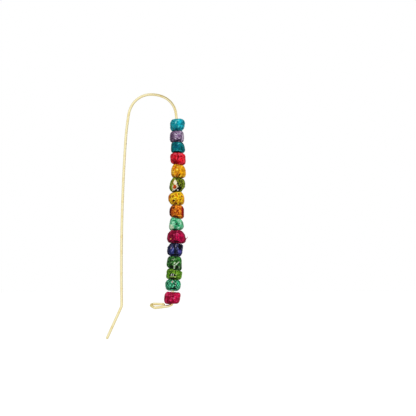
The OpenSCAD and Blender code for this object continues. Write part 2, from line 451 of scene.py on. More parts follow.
def fold_height(look, turn, share, point):
    """How far the cloth stands off the plain form, in millimetres, and how deep in a fold it lies, for
    painted shade.
    """
    seed = Vector(look["seed"])
    end = abs(2 * share - 1)
    spun = turn + look["twist"] * (share - 0.5)
    around = Vector((math.cos(spun), math.sin(spun), 0))
    wander = 1.3 * noise.noise(around * 1.1 + Vector((0, 0, 2.5 * share)) + seed)
    pleats = look["pleats"][0 if share < 0.5 else 1]
    gather = crease(pleats * spun + 2.2 * wander + seed[0])
    across = math.hypot(point[0], point[1])
    gather_depth = look["gather"] * end ** 2.2 * ease((across - GATHER_FROM) / GATHER_SPAN)
    long_folds = abs(noise.noise(around * 2.3 + Vector((0, 0, 1.1 * share)) + 2 * seed))
    here = Vector(point)
    lump = noise.noise(here * LUMPS + seed)
    crumple = abs(noise.noise(here * CRUMPLES + 3 * seed + Vector((lump, lump, 0)) * 1.5))
    pinch = max(0.0, 1 - 4 * crumple)
    fine = max(0.0, 1 - 4 * abs(noise.noise(here * CREASES + 5 * seed + Vector((lump, 0, crumple)))))
    past_lap = (spun - look["lap_turn"] + 0.25 * lump) % (2 * math.pi)
    before_lap = 2 * math.pi - past_lap
    lap = 1 - past_lap / LAP_STEEP if past_lap < LAP_STEEP else max(0.0, 1 - before_lap / LAP_EASY)
    middle = 1 - end ** 4
    height = (
        look["lump"] * lump * middle
        + look["fold"] * (2 * long_folds - 0.5) * middle
        + look["lap"] * lap * (1 - end ** 6)
        - gather_depth * (gather - 0.3)
        - look["crumple"] * (pinch - 0.3 + 0.45 * (fine - 0.3))
        + NAP_HEIGHT * noise.noise(here * NAP + seed)
    )
    # Painted shade: how deep the cloth lies in a gather, pinch, crease or long fold.
    hollow = 0.8 * gather * end ** 2 + 0.7 * pinch + 0.4 * fine + 0.6 * max(0.0, 1 - 5 * long_folds)
    return height, min(1.0, hollow)


# The hoop that a bead's cloth starts from, before it is laid over the bead
HOOP_R = 2.0


def wrap_cloth(bm, look, bead):
    """A ring of cloth, spun round the bore, then laid over the bead's form and folded."""
    stand = Matrix.Translation((HOOP_R, 0, 0)) @ Matrix.Rotation(math.pi / 2, 4, "X")
    bmesh.ops.create_circle(bm, segments=ROWS, radius=HOOP_R / 2, matrix=stand)
    bmesh.ops.spin(bm, geom=bm.verts[:] + bm.edges[:], cent=(0, 0, 0), axis=(0, 0, 1),
                   angle=2 * math.pi, steps=COLUMNS, use_merge=True)
    painted_shade_of, down_of, turn_of = (bm.verts.layers.float.new(name) for name in ("hollow", "down", "turn"))
    grid, run = bead.grid()
    normal = outward(grid)
    for v in bm.verts:
        column = round(math.atan2(v.co.y, v.co.x) / (2 * math.pi) * COLUMNS) % COLUMNS
        ahead = math.atan2(v.co.z, v.co.xy.length - HOOP_R) / (2 * math.pi)
        row = round(OUTER_ROWS / 2 - ahead * ROWS) % ROWS
        turn = 2 * math.pi * column / COLUMNS
        if row < OUTER_ROWS:
            share = row / (OUTER_ROWS - 1)
            height, v[painted_shade_of] = fold_height(look, turn, share, grid[row, column])
            v.co = bead.press(Vector(grid[row, column] + normal[row, column] * height))
            v[down_of] = share
        else:
            share = (row - OUTER_ROWS + 1) / (ROWS - OUTER_ROWS + 1)
            up = (2 * share - 1) * (bead.half_bore - LINING_SHORT)
            v.co = Vector((BORE_R * math.sin(turn), -BORE_R * math.cos(turn), up))
            # The lining of the bore gets the full painted shade.
            v[painted_shade_of] = 1.0
            v[down_of] = 1.0 if share < 0.5 else 0.0
        v[turn_of] = (turn + math.pi) % (2 * math.pi) - math.pi
    wrap = bm.loops.layers.uv.new("wrap")
    for face in bm.faces:
        turns = [v[turn_of] for v in face.verts]
        over_seam = max(turns) - min(turns) > math.pi
        for loop in face.loops:
            turn = loop.vert[turn_of]
            turn += 2 * math.pi if over_seam and turn < 0 else 0
            loop[wrap].uv = (turn * NOMINAL_R, (0.5 - loop.vert[down_of]) * run)


# Loose fibres, in millimetres: thickness of the short ones and of the listed ones, as a radius, the short
# ones' lengths and bends, and how deep they are rooted. Then how many sides and steps each one has.
FIBRE_R = 0.018
STRAY_R = 0.12
FIBRE_LENGTHS = (0.25, 0.7)
FIBRE_BENDS = (0.3, 0.9)
ROOT_DEPTH = 0.03
FIBRE_SIDES = 5
FIBRE_STEPS = 7


def add_fibre(bm, start, way, bend_r, angle, radius):
    """A loose thread: an arc of thin fibre that leaves the cloth at a point, closed at both ends."""
    side = way.orthogonal().normalized()
    place = Matrix.Translation(start) @ way.to_track_quat("Z", "Y").to_matrix().to_4x4()
    edges = edges_of(bmesh.ops.create_circle(bm, segments=FIBRE_SIDES, radius=radius, matrix=place))
    bmesh.ops.contextual_create(bm, geom=edges)
    made = bmesh.ops.spin(
        bm, geom=edges, cent=start + side * bend_r, axis=way.cross(side), angle=angle, steps=FIBRE_STEPS,
    )["geom_last"]
    bmesh.ops.contextual_create(bm, geom=edges_within(made, verts_in(made)))


def fray(bm, look, chance):
    """Short loose fibres, away from the gathered ends, and the few long ones that are listed."""
    painted_shade_of, down_of = (bm.verts.layers.float[name] for name in ("hollow", "down"))
    bm.verts.ensure_lookup_table()
    cloth = [v for v in bm.verts if 0.12 < v[down_of] < 0.88 and v[painted_shade_of] < 0.99]
    bm.normal_update()
    roots = [(v.co.copy(), v.normal.copy()) for v in chance.sample(cloth, look["fibres"])]
    before = set(bm.verts)
    for point, normal in roots:
        stray = Vector([chance.uniform(-1, 1) for _ in range(3)])
        way = (normal * 0.5 + stray).normalized()
        way = way if way.dot(normal) > 0.15 else (way + normal).normalized()
        length = chance.uniform(*FIBRE_LENGTHS)
        bend_r = chance.uniform(*FIBRE_BENDS)
        add_fibre(bm, point - normal * ROOT_DEPTH, way, bend_r, length / bend_r, FIBRE_R)
    for point, way, bend_r, angle in look["strays"]:
        add_fibre(bm, Vector(point), Vector(way).normalized(), bend_r, math.radians(angle), STRAY_R)
    for v in bm.verts:
        if v not in before:
            v[down_of] = 0.5


def make_bead(look):
    node = look["node"]
    chance = random.Random(node)
    bead = Bead(node)
    bm = bmesh.new()
    wrap_cloth(bm, look, bead)
    bmesh.ops.recalc_face_normals(bm, faces=bm.faces)
    fray(bm, look, chance)
    bmesh.ops.recalc_face_normals(bm, faces=bm.faces)
    bmesh.ops.transform(bm, matrix=bead.place, verts=bm.verts)
    piece = finish_mesh(bm, node + "_cloth", cloth_finish(look))
    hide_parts(node)
    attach(piece, "root")


# Threads: how far apart they lie, in millimetres, and how much darker the cloth is between them
THREAD_PITCH = 0.31
THREAD_SHADE = 0.38


def darker(paint, share):
    """A paint of the same hue that gives back only a share of its light."""
    return [share * c for c in paint[:3]] + [1.0]


class Cloth(Finish):
    """Dyed cotton: mottled colour, uneven threads, prints and painted shade and light, laid out along the
    wrapped strip.
    """

    def __init__(self, look):
        name = "cotton_" + look["node"].removeprefix("bead_")
        super().__init__(name, Specular_IOR_Level=0.08, Sheen_Weight=0.02, Sheen_Roughness=0.5)
        u, v, _ = self.split(self.make("ShaderNodeUVMap", {"uv_map": "wrap"}))
        sockets = {"Vector": self.place, "Scale": 1.7, "Detail": 2.0}
        a, b, _ = self.split(self.make("ShaderNodeTexNoise", {}, sockets, out=1))
        self.strip = self.join(u + 0.4 * a, v + 0.4 * b)
        stray_u, stray_v = 0.7 * (a - 0.5), 0.7 * (b - 0.5)
        self.printed = self.join(u.wrapped(-QUARTER, QUARTER) + stray_u, v + stray_v)
        self.ragged = self.noise(3.4, detail=3, rough=0.6) - 0.5

    def band(self, shape, turn):
        """Noise that is drawn out into strokes. Shape is its scale across and along them."""
        size = (1 / shape[0], 1 / shape[1], 1)
        at = self.moved(self.strip, turn=turn, scale=size, kind="TEXTURE")
        return self.noise(1.0, detail=3, rough=0.6, at=at)

    def weave(self, turn):
        """1 on the crown of each thread of a plain weave, 0 in the holes between the threads."""
        a, b, _ = self.split(self.moved(self.strip, turn=turn, scale=(math.pi / THREAD_PITCH,) * 3))
        a, b = a.sine(), b.sine()
        over = 0.5 * (a * b)
        return (abs(a) * (0.5 + over)).or_more(abs(b) * (0.5 - over))

    def facets(self, size):
        """A tone from 0 to 1 for each flat of the crumpled cloth."""
        at = self.make("ShaderNodeVectorMath", {"operation": "ADD"}, {0: self.place, 1: self.strip})
        sockets = {"Vector": at, "Scale": 1 / size}
        tone, _, _ = self.split(self.make("ShaderNodeTexVoronoi", {}, sockets, out=1))
        return tone

    def net(self, pitch, lean):
        """Two sets of crossing lines, broken here and there."""
        a, b, _ = self.split(self.moved(self.printed, turn=lean, scale=(2 * math.pi / pitch,) * 3))
        return self.ease(a.sine().or_more(b.sine()) + 1.2 * self.ragged, 0.55, 0.9)

    def mark(self, colour, paint, place, size, turn=0.0, strength=0.9, kind="patch", ragged=1.0):
        """A mark on the cloth, for prints, painted shade and highlights: a patch, or thin lines that wander
        within one.
        """
        at = self.moved(self.printed, (*place, 0), turn, (*size, 1), "TEXTURE")
        far = self.make("ShaderNodeVectorMath", {"operation": "LENGTH"}, {0: at}, out=1)
        share = strength * self.ease(far + ragged * self.ragged, 1.15, 0.9)
        if kind == "lines":
            share = share * self.ease(abs(self.noise(1.0, detail=1, at=self.printed) - 0.5), 0.075, 0.045)
        return self.mix(share, colour, paint)


def cloth_finish(look):
    """The dye, flecks, net, marks, threads, and painted shade in the folds and at the ends of a bead's
    cloth, in that order.
    """
    cloth = Cloth(look)
    turn = look["thread_turn"]
    crown = cloth.weave(turn)
    slub = 0.5 * (cloth.band((5.0, 0.5), turn) + cloth.band((0.5, 5.0), turn))
    mottle = cloth.noise(look["mottle"], detail=4, rough=0.65)
    grain = cloth.noise(2.6, detail=1)
    tone = 0.35 * mottle + 0.15 * cloth.facets(look["facet"]) + 0.25 * slub + 0.25 * grain
    dark, mid, light = (rgb(*c) for c in look["colours"])
    colour = cloth.ramp(tone, [(0.41, dark), (0.5, mid), (0.59, light)])
    for paint, shape, lean, level, strength in look["flecks"]:
        fleck = cloth.ease(cloth.band(shape, lean), level, level + 0.05)
        colour = cloth.mix(strength * fleck, colour, rgb(*paint))
    if look["net"]:
        paint, pitch, lean, strength = look["net"]
        colour = cloth.mix(strength * cloth.net(pitch, lean), colour, rgb(*paint))
    for paint, *mark in look["marks"]:
        colour = cloth.mark(colour, rgb(*paint), *mark)
    colour = cloth.mix(THREAD_SHADE * (1.0 - crown), colour, (0.0, 0.0, 0.0, 1.0), "MULTIPLY")
    hollow = cloth.make("ShaderNodeAttribute", {"attribute_name": "hollow"}, out=2)
    down = cloth.make("ShaderNodeAttribute", {"attribute_name": "down"}, out=2)
    # Painted shade in the folds and the bore: the colour goes towards the dark tone where the cloth lies
    # deeper.
    shade = cloth.ease(hollow, 0.2, 1.0) * look["shade"]
    colour = cloth.mix(shade, colour, darker(dark, 0.35))
    # Painted shade at both gathered ends, where the beads meet: the look's foot sets it at the lower end,
    # 0.6 at the top.
    foot = cloth.ease(down + 0.05 * cloth.ragged, 0.82, 0.88)
    head_shade = cloth.ease(down + 0.05 * cloth.ragged, 0.12, 0.06)
    colour = cloth.mix(look["foot"] * foot + 0.6 * head_shade, colour, darker(dark, 0.1))
    fuzz = cloth.noise(9.0, detail=3, rough=0.7)
    cloth.feed(cloth.shader, {"Base Color": colour, "Roughness": 0.75 + 0.2 * fuzz})
    cloth.raise_surface(0.03 * crown + 0.04 * slub + 0.02 * fuzz)
    return cloth.material


# Paints of the prints
BLACK, WHITE = (18, 14, 14), (250, 248, 244)


def look_of(node, slot, colours, marks=(), flecks=(), **more):
    """One bead's cloth. The folds differ from bead to bead, and what is given replaces them."""
    chance = random.Random(slot + node)
    look = {
        "node": node,
        "slot": slot,
        "colours": colours,
        "marks": marks,
        "flecks": flecks,
        "seed": [chance.uniform(0, 40) for _ in range(3)],
        "twist": chance.uniform(-0.9, 0.9),
        "pleats": (chance.randint(9, 13), chance.randint(9, 13)),
        "thread_turn": chance.uniform(-25, 25),
        "lap_turn": chance.uniform(-1.2, 1.2),
        "mottle": 1.4,
        "facet": 1.1,
        "net": None,
        "foot": 0.93,
        "shade": 0.7,
        "gather": 0.22,
        "lump": 0.14,
        "fold": 0.10,
        "crumple": 0.10,
        "lap": 0.12,
        "fibres": 9,
        "strays": (),
    }
    look.update(more)
    return look


# Each look has the dye's dark, middle and light tone. A mark is its paint, place, half size, turn,
# strength, kind and raggedness. Most marks are prints; the wide dark ones low on a bead are painted shade
# where it meets the bead below, and a few others are painted highlights and painted shade at a side.
# Places are in millimetres: right of the front's middle along the strip, and up. Flecks are a paint, scale
# across and along the strokes, lean, level from which they show, and strength. A net is its paint, pitch,
# lean and strength. Foot and shade say how much painted shade darkens the lower end and the folds, mottle
# and facet how fine and how large the dye's cloudiness and the cloth's flats are.
LOOKS = (
    look_of(
        "bead_01_turquoise", "cloth_turquoise",
        ((0, 104, 122), (2, 158, 172), (50, 194, 200)),
        flecks=(
            ((140, 228, 228), (3.2, 1), -25, 0.58, 0.7), ((2, 78, 96), (2.6, 1), -20, 0.61, 0.55),
        ),
        marks=(
            ((0, 178, 204), (1.7, 0.54), (1, 1.6), 0, 0.6),
            ((4, 110, 130), (-0.84, -0.62), (0.8, 0.9), 0, 0.45),
            ((150, 226, 226), (-0.29, 1.03), (0.23, 0.85), -25, 0.75),
            ((120, 216, 220), (0.6, 1.61), (0.6, 0.24), 0, 0.7),
            # Painted shade where this bead meets the one below.
            ((0, 52, 70), (0.08, -1.9), (1.3, 0.38), 0, 0.85),
            ((90, 160, 158), (-1.95, -1.69), (0.35, 0.7), 0, 0.5),
        ),
    ),
    look_of(
        "bead_02_mauve", "cloth_mauve",
        ((76, 50, 84), (128, 102, 134), (170, 154, 178)),
        flecks=(
            ((216, 200, 220), (3.2, 3.2), 0, 0.61, 0.7), ((60, 34, 64), (3, 3), 30, 0.62, 0.65),
        ),
        marks=(
            # Painted shade on the bead's left side.
            ((56, 34, 62), (-3, -1.07), (0.7, 1.2), 0, 0.5),
            ((120, 66, 134), (0.45, 0.17), (0.9, 0.5), 0, 0.45), (BLACK, (0.73, -0.58), (0.31, 0.3)),
            (BLACK, (0.96, -0.99), (0.31, 0.24)), ((230, 200, 235), (0.73, -0.87), (0.21, 0.2)),
            ((228, 216, 232), (-0.57, 0.74), (0.31, 0.23)),
            ((222, 208, 226), (-0.99, -0.99), (0.25, 0.27)),
            ((190, 176, 192), (3.2, 0), (1.1, 1.5), 0, 0.65),
            # The next two marks are painted shade where this bead meets the one below.
            ((12, 2, 34), (0.68, -1.78), (1.35, 0.4), 0, 0.97),
            ((30, 12, 40), (-1.79, -1.9), (0.4, 0.36), 0, 0.88),
        ),
        mottle=1.5,
    ),
    look_of(
        "bead_03_dark_teal", "cloth_dark_teal",
        ((0, 72, 78), (0, 106, 114), (4, 136, 142)),
        flecks=(
            ((0, 48, 56), (3, 1.4), -15, 0.61, 0.65), ((60, 168, 172), (3.4, 1.2), -12, 0.65, 0.4),
        ),
        marks=(
            ((8, 84, 128), (-0.43, 0.41), (1.2, 0.9), 0, 0.5),
            ((0, 56, 58), (-1.32, 1.03), (0.8, 0.8), 0, 0.45),
            ((34, 148, 152), (0.21, -1.28), (2.2, 0.24), 0, 0.8),
            # The next two marks are painted highlights at the top.
            ((80, 200, 206), (0.79, 1.78), (0.6, 0.22), 15, 0.9),
            ((70, 190, 198), (0.29, 1.36), (0.4, 0.2), -10, 0.8),
            # Painted shade where this bead meets the one below.
            ((0, 4, 10), (-0.21, -1.94), (2, 0.46), 0, 0.99),
        ),
        mottle=0.9, facet=1.6, crumple=0.07,
    ),
    look_of(
        "bead_04_crimson", "cloth_crimson",
        ((172, 4, 20), (234, 24, 42), (244, 78, 96)),
        flecks=(
            ((112, 4, 24), (2.6, 1.6), 25, 0.6, 0.7), ((230, 100, 122), (2.8, 1.6), -25, 0.62, 0.6),
        ),
        marks=(
            ((228, 8, 32), (-1.32, 0.08), (0.75, 0.95), 0, 0.5),
            ((232, 14, 38), (1.12, -0.83), (0.85, 0.8), 0, 0.5),
            ((84, 2, 20), (-0.12, 1.65), (0.34, 0.34), 0, 0.9),
            ((84, 2, 20), (0.28, 0.62), (0.33, 0.9), -12, 0.9),
            ((100, 4, 26), (0.07, -0.37), (0.27, 0.42), 0, 0.85),
            ((104, 6, 28), (1.56, 1.03), (0.45, 0.3), 0, 0.85),
            ((120, 8, 30), (-0.6, -1.07), (0.31, 0.5), 10, 0.7),
            ((150, 10, 34), (-1.37, 1.07), (0.4, 0.24), 20, 0.7),
            ((222, 100, 120), (0.9, 1.82), (0.5, 0.25), 0, 0.75),
            ((220, 96, 114), (-0.89, 1.73), (0.7, 0.25), 0, 0.7),
            ((216, 90, 110), (-1.83, -0.95), (0.27, 0.5), 0, 0.65),
            ((234, 64, 96), (1.94, -1.49), (0.31, 0.7), 0, 0.7),
            ((200, 70, 96), (0.75, 0), (0.23, 0.5), -25, 0.6),
            # The next two marks are painted shade where this bead meets the one below.
            ((140, 0, 18), (-0.08, -1.57), (1.4, 0.42), 0, 0.88),
            ((50, 0, 10), (-1.55, -2.06), (0.6, 0.34), 0, 0.95),
        ),
    ),
    look_of(
        "bead_05_mustard", "cloth_mustard",
        ((204, 112, 6), (250, 178, 8), (255, 214, 56)),
        flecks=(
            ((255, 228, 130), (3.2, 0.9), -35, 0.61, 0.7), ((204, 88, 10), (3.2, 0.9), -32, 0.62, 0.65),
        ),
        marks=(
            ((246, 180, 6), (2.8, 0), (1.4, 1.8), 0, 0.85),
            ((214, 70, 14), (-1.47, 0.83), (0.27, 1.15), -42, 0.88),
            ((208, 62, 18), (-0.71, 1.49), (0.23, 0.6), -40, 0.8),
            ((222, 100, 8), (0.11, -1.57), (0.27, 1.2), -8, 0.85),
            ((230, 116, 10), (-0.76, -1.03), (0.23, 0.9), 12, 0.7),
            # The next two marks are painted highlights.
            ((255, 236, 130), (0, 0.74), (0.27, 0.3), 0, 0.6),
            ((255, 234, 146), (-1.04, -2.31), (0.3, 0.34), 0, 0.7),
            ((255, 218, 70), (0.46, 1.98), (0.6, 0.35), 0, 0.75),
            # Painted highlight.
            ((255, 228, 120), (-1.89, -0.83), (0.22, 0.8), -20, 0.7),
            ((36, 14, 2), (0.79, -1.73), (0.3, 0.56), -15, 1, "patch", 0.3),
            ((120, 54, 6), (1.28, -1.32), (0.22, 0.34), -15, 0.8, "patch", 0.6),
            # Painted shade where this bead meets the one below.
            ((160, 62, 4), (0, -2.64), (1.7, 0.36), 0, 0.8),
        ),
    ),
    look_of(
        "bead_06_olive_print", "cloth_olive_print",
        ((36, 48, 2), (106, 128, 14), (172, 190, 62)),
        flecks=(
            ((10, 14, 2), (2.4, 2.4), 35, 0.58, 0.92), ((184, 200, 84), (2.6, 2.6), 10, 0.63, 0.65),
        ),
        marks=(
            ((26, 36, 6), (1.28, 0.17), (1.6, 2.1), 0, 0.92),
            ((146, 160, 40), (1.28, 0.25), (1.7, 2.2), 0, 0.9, "lines"),
            (BLACK, (0.33, -0.08), (0.3, 1.3), 8, 0.95), (BLACK, (1.52, -0.25), (0.34, 0.27), 30, 0.9),
            (BLACK, (0.85, -0.83), (0.28, 0.33), 0, 0.9),
            ((150, 112, 18), (-1.62, 1.03), (0.34, 1.2), -8, 0.85),
            ((244, 232, 200), (-0.76, 0.87), (0.62, 1.15), 8, 1),
            ((244, 230, 196), (-0.15, -0.99), (0.58, 1), 14, 1),
            ((244, 234, 212), (-0.99, -1.98), (1.2, 0.4), 12, 1),
            ((236, 228, 196), (-1.7, -1.2), (0.27, 1.1), -4, 0.9),
            ((204, 78, 20), (-0.95, -0.99), (0.66, 0.9), -6, 1, "patch", 0.7),
            ((176, 56, 14), (-0.8, -1.4), (0.34, 0.34), 0, 0.7),
            # Painted highlight on the left side.
            ((164, 184, 44), (-2.44, -1.16), (0.34, 1.1), 0, 0.88),
            (BLACK, (-3.5, -0.91), (0.27, 0.9), 0, 0.8), (BLACK, (2.05, 1.24), (0.34, 0.35), 0, 1),
            (BLACK, (1.12, 1.73), (0.36, 0.27), 0, 0.95),
            ((170, 188, 60), (1.78, -0.99), (0.36, 0.45), 0, 0.8),
            # Both marks on the next line are painted shade where this bead meets the one below.
            (BLACK, (1.16, -2.02), (1.5, 1), 22, 1), (BLACK, (-0.92, -2.64), (1.7, 0.4), 16, 1),
            (WHITE, (0.37, -2.48), (0.34, 0.34), 0, 1, "patch", 0.5),
        ),
        mottle=1.2, shade=0.4,
    ),
    look_of(
        "bead_07_yellow", "cloth_yellow",
        ((190, 98, 12), (246, 196, 20), (255, 230, 62)),
        flecks=(
            ((255, 236, 40), (2, 1.2), -20, 0.55, 0.7), ((166, 62, 14), (3.4, 3), -20, 0.6, 0.9),
        ),
        marks=(
            ((212, 104, 8), (-3.8, 0.21), (1.1, 1.6), 0, 0.75),
            ((220, 134, 6), (3.9, -0.41), (1, 1.8), 0, 0.7),
            ((250, 216, 0), (0.98, 0), (1.4, 1.6), 0, 0.55),
            ((200, 92, 8), (0.08, 1.24), (0.25, 1), 12, 0.92),
            ((186, 74, 10), (0.24, -0.83), (0.38, 0.48), 0, 0.88),
            ((150, 54, 16), (-0.41, -1.73), (0.5, 0.38), 0, 0.85),
            ((196, 98, 12), (-0.48, 1.4), (0.23, 0.55), 20, 0.8),
            (BLACK, (-1.16, -0.99), (0.42, 0.4), 0, 1, "patch", 0.3),
            ((70, 14, 26), (-0.66, -0.29), (0.2, 0.24), 0, 0.9, "patch", 0.3),
            ((140, 10, 16), (1.5, -0.54), (0.38, 0.36), 0, 1, "patch", 0.3),
            ((140, 40, 54), (2.41, 1.07), (0.36, 0.4), 0, 0.95, "patch", 0.3),
            ((130, 48, 10), (-1.55, 0.83), (0.3, 0.3), 0, 0.92),
            ((140, 34, 10), (-0.17, -0.17), (0.27, 0.27), 0, 0.9),
            ((150, 60, 10), (0.98, -1.4), (0.31, 0.22), 0, 0.85),
            ((86, 98, 4), (0.89, 1.82), (0.25, 0.65), 0, 0.92),
            # The next two marks are painted shade where this bead meets the one below.
            ((74, 4, 8), (-0.41, -2.23), (0.85, 0.36), 0, 0.98),
            ((84, 12, 6), (1.78, -2.31), (0.65, 0.34), 0, 0.97),
        ),
        mottle=1.3,
    ),
    look_of(
        "bead_08_rust_orange", "cloth_rust_orange",
        ((136, 34, 8), (218, 104, 20), (246, 160, 48)),
        flecks=(
            ((252, 180, 44), (3.2, 1), -38, 0.58, 0.8), ((118, 20, 6), (3, 1.1), -35, 0.6, 0.8),
        ),
        marks=(
            # Both marks on the next line are painted shade down the bead's sides.
            ((92, 8, 8), (-3.7, -0.21), (1.4, 2.3), 0, 1), ((136, 10, 6), (3.7, 0.17), (1.5, 2.3), 0, 1),
            ((252, 164, 36), (1.07, -1.57), (0.42, 0.27), 0, 0.85),
            ((250, 150, 26), (-0.08, 1.82), (0.5, 0.3), 0, 0.8),
            ((246, 160, 40), (-0.48, 0.58), (0.22, 0.65), -35, 0.8),
            ((246, 154, 34), (0.78, -0.17), (0.22, 0.75), -35, 0.8),
            ((242, 148, 30), (0, -1.07), (0.22, 0.55), -40, 0.75),
            ((136, 26, 4), (0.19, 0.29), (0.22, 0.55), -35, 0.8),
            ((130, 22, 6), (-1.02, -0.58), (0.23, 0.55), -35, 0.75),
            ((28, 6, 6), (-1.46, 1.57), (0.5, 0.5), 0, 0.92),
            # The next two marks are painted shade where this bead meets the one below.
            ((52, 0, 2), (-0.48, -2.06), (0.9, 0.38), 0, 0.98),
            ((44, 0, 2), (0.99, -2.19), (0.85, 0.42), 0, 0.98),
        ),
    ),
    look_of(
        "bead_09_mint", "cloth_mint",
        ((44, 150, 100), (98, 204, 146), (162, 228, 190)),
        flecks=(
            ((10, 156, 98), (2.4, 1.4), 35, 0.6, 0.8), ((210, 246, 228), (2.8, 1.4), 40, 0.63, 0.5),
        ),
        marks=(
            ((8, 138, 84), (0.41, 0.54), (0.5, 1.7), 45, 0.85),
            ((2, 130, 78), (-0.9, 1.49), (0.8, 0.34), 0, 0.88),
            ((0, 124, 76), (0, -1.2), (0.52, 0.4), 0, 0.9),
            ((18, 174, 112), (1.32, -0.58), (0.5, 0.5), 0, 0.8),
            ((2, 28, 18), (0.26, 0.08), (0.36, 0.56), -15, 1, "patch", 0.3),
            ((4, 44, 30), (0.76, -0.41), (0.36, 0.21), -30, 0.9, "patch", 0.6),
            ((214, 232, 196), (-2.3, -1.2), (1.4, 1.05), 0, 0.9),
            ((190, 234, 208), (-1.35, 0.29), (0.33, 0.55), 0, 0.4),
            ((214, 246, 230), (-0.59, 0), (0.6, 0.2), 25, 0.6),
            ((214, 248, 230), (1.15, 1.53), (0.6, 0.27), -30, 0.8),
            ((200, 244, 222), (0.8, -1.53), (0.6, 0.23), 20, 0.8),
            ((224, 238, 224), (2.18, 0.62), (0.27, 0.7), 0, 0.5),
            ((70, 86, 66), (3.4, 0.21), (0.4, 0.6), 0, 0.9),
            ((84, 98, 80), (2.38, -1.53), (0.24, 0.5), -10, 0.9),
            # Painted shade where this bead meets the one below.
            ((2, 20, 14), (-0.55, -2.11), (1.35, 0.42), 0, 0.98),
        ),
    ),
    look_of(
        "bead_10_magenta", "cloth_magenta",
        ((88, 0, 24), (150, 2, 52), (198, 46, 96)),
        flecks=(
            ((216, 70, 124), (2.6, 1.3), 15, 0.6, 0.7), ((60, 0, 16), (2.4, 1.2), -20, 0.59, 0.8),
        ),
        marks=(
            ((108, 0, 28), (-0.94, 0.62), (1.6, 1.8), 0, 0.5),
            ((212, 8, 82), (1.44, -0.45), (1.5, 1.9), 0, 0.6),
            # Painted highlight stripe.
            ((224, 80, 128), (0.61, 1.12), (0.27, 0.9), 8, 0.5),
            ((216, 64, 114), (-0.41, 1.03), (0.5, 0.25), 0, 0.6),
            ((230, 160, 92), (-1.75, -0.99), (0.38, 0.23), 35, 0.98, "patch", 0.6),
            ((60, 0, 18), (0.23, -0.78), (0.2, 0.8), 20, 0.5),
            ((66, 0, 20), (-0.84, -0.78), (0.23, 0.7), -20, 0.75),
            ((222, 60, 120), (1.99, -1.69), (0.5, 0.23), -30, 0.6),
            # Painted shade where this bead meets the one below.
            ((18, 0, 8), (0.29, -1.82), (1.3, 0.42), 0, 0.95),
        ),
        foot=0.5, fold=0.16, strays=(((4.0, -0.6, -0.9), (0.7, -0.3, 0.3), 1.0, 85),),
    ),
    look_of(
        "bead_11_navy", "cloth_navy",
        ((10, 12, 28), (38, 44, 82), (84, 88, 132)),
        flecks=(
            ((124, 120, 160), (3.2, 0.9), -22, 0.62, 0.6), ((4, 4, 12), (2.4, 1), 22, 0.58, 0.9),
        ),
        marks=(
            ((38, 50, 124), (-1.2, -0.74), (1, 1.4), -20, 0.65),
            ((72, 66, 156), (2.18, -0.83), (0.85, 1.05), 20, 0.75),
            ((16, 22, 34), (0.19, -0.95), (0.5, 1.2), 0, 0.85),
            ((6, 6, 12), (2.28, 1.24), (1, 1.25), -10, 0.94),
            ((4, 4, 10), (-0.38, 1.24), (0.28, 1.2), 18, 0.92),
            ((6, 6, 14), (0.92, 0.62), (0.3, 1.4), 24, 0.92),
            ((168, 160, 192), (0.34, 1.69), (0.23, 0.7), -8, 0.6),
            ((200, 168, 188), (-1.7, 0.7), (0.27, 0.42), -30, 0.6),
            ((120, 124, 184), (-0.88, -0.21), (0.22, 1.2), -22, 0.75),
            ((102, 106, 172), (1.36, -0.08), (0.23, 1.3), 22, 0.82),
            # Painted shade where this bead meets the one below.
            ((2, 2, 8), (-0.04, -2.06), (1.7, 0.36), 0, 0.94),
        ),
        facet=1.5, fold=0.22, crumple=0.12,
    ),
    look_of(
        "bead_12_leaf_green", "cloth_leaf_green",
        ((8, 48, 12), (36, 102, 36), (100, 168, 84)),
        flecks=(
            ((176, 214, 156), (3.4, 0.8), -50, 0.62, 0.7), ((2, 20, 6), (3, 2.4), -30, 0.57, 0.88),
            ((70, 162, 64), (3, 2.4), 0, 0.62, 0.5),
        ),
        marks=(
            ((58, 146, 60), (2.1, 1.61), (0.8, 0.7), 0, 0.5),
            ((6, 24, 8), (-0.6, 1.12), (0.31, 0.31), 0, 0.92), (BLACK, (-1.03, -1.61), (0.8, 0.6), 0, 1),
            (BLACK, (1.23, -1.61), (0.75, 0.7), 0, 1),
            ((176, 208, 160), (-1.03, 1.28), (0.15, 0.7), -48, 0.7, "patch", 0.6),
            ((176, 208, 160), (-0.23, 1.36), (0.15, 0.6), -48, 0.7, "patch", 0.6),
            ((160, 200, 140), (-1.4, -0.04), (0.15, 0.5), -48, 0.6, "patch", 0.6),
            ((4, 22, 8), (-1.57, 0.87), (0.24, 0.4), -48, 0.85),
            ((4, 22, 8), (0.62, 0.95), (0.24, 0.4), -30, 0.8),
            ((222, 234, 208), (0.15, -0.08), (0.21, 0.5), -56, 0.9, "patch", 0.5),
            ((232, 242, 222), (1.19, -0.12), (0.15, 1.4), -46, 0.97, "patch", 0.6),
            ((240, 246, 232), (0, -1.9), (0.18, 1.15), -3, 0.97, "patch", 0.5),
            ((214, 234, 202), (2.26, -1.53), (0.2, 0.7), 10, 0.85, "patch", 0.5),
            # Painted shade down the bead's right side.
            ((2, 10, 8), (3.6, -1.45), (0.45, 1.4), 0, 0.9),
        ),
    ),
    look_of(
        "bead_13_lime", "cloth_lime",
        ((36, 74, 4), (90, 154, 24), (150, 196, 66)),
        flecks=(
            ((204, 224, 112), (3.2, 1), -10, 0.62, 0.7), ((20, 48, 2), (3, 2), 15, 0.57, 0.9),
        ),
        marks=(
            (WHITE, (-0.94, -0.25), (0.22, 0.48), -18, 0.95, "patch", 0.4),
            (WHITE, (-0.15, -0.17), (0.2, 0.42), -8, 0.95, "patch", 0.4),
            ((230, 240, 180), (1, -0.17), (0.2, 0.34), 0, 0.75, "patch", 0.5),
            ((206, 222, 130), (-0.39, -0.95), (1.6, 0.2), 3, 0.5, "patch", 0.5),
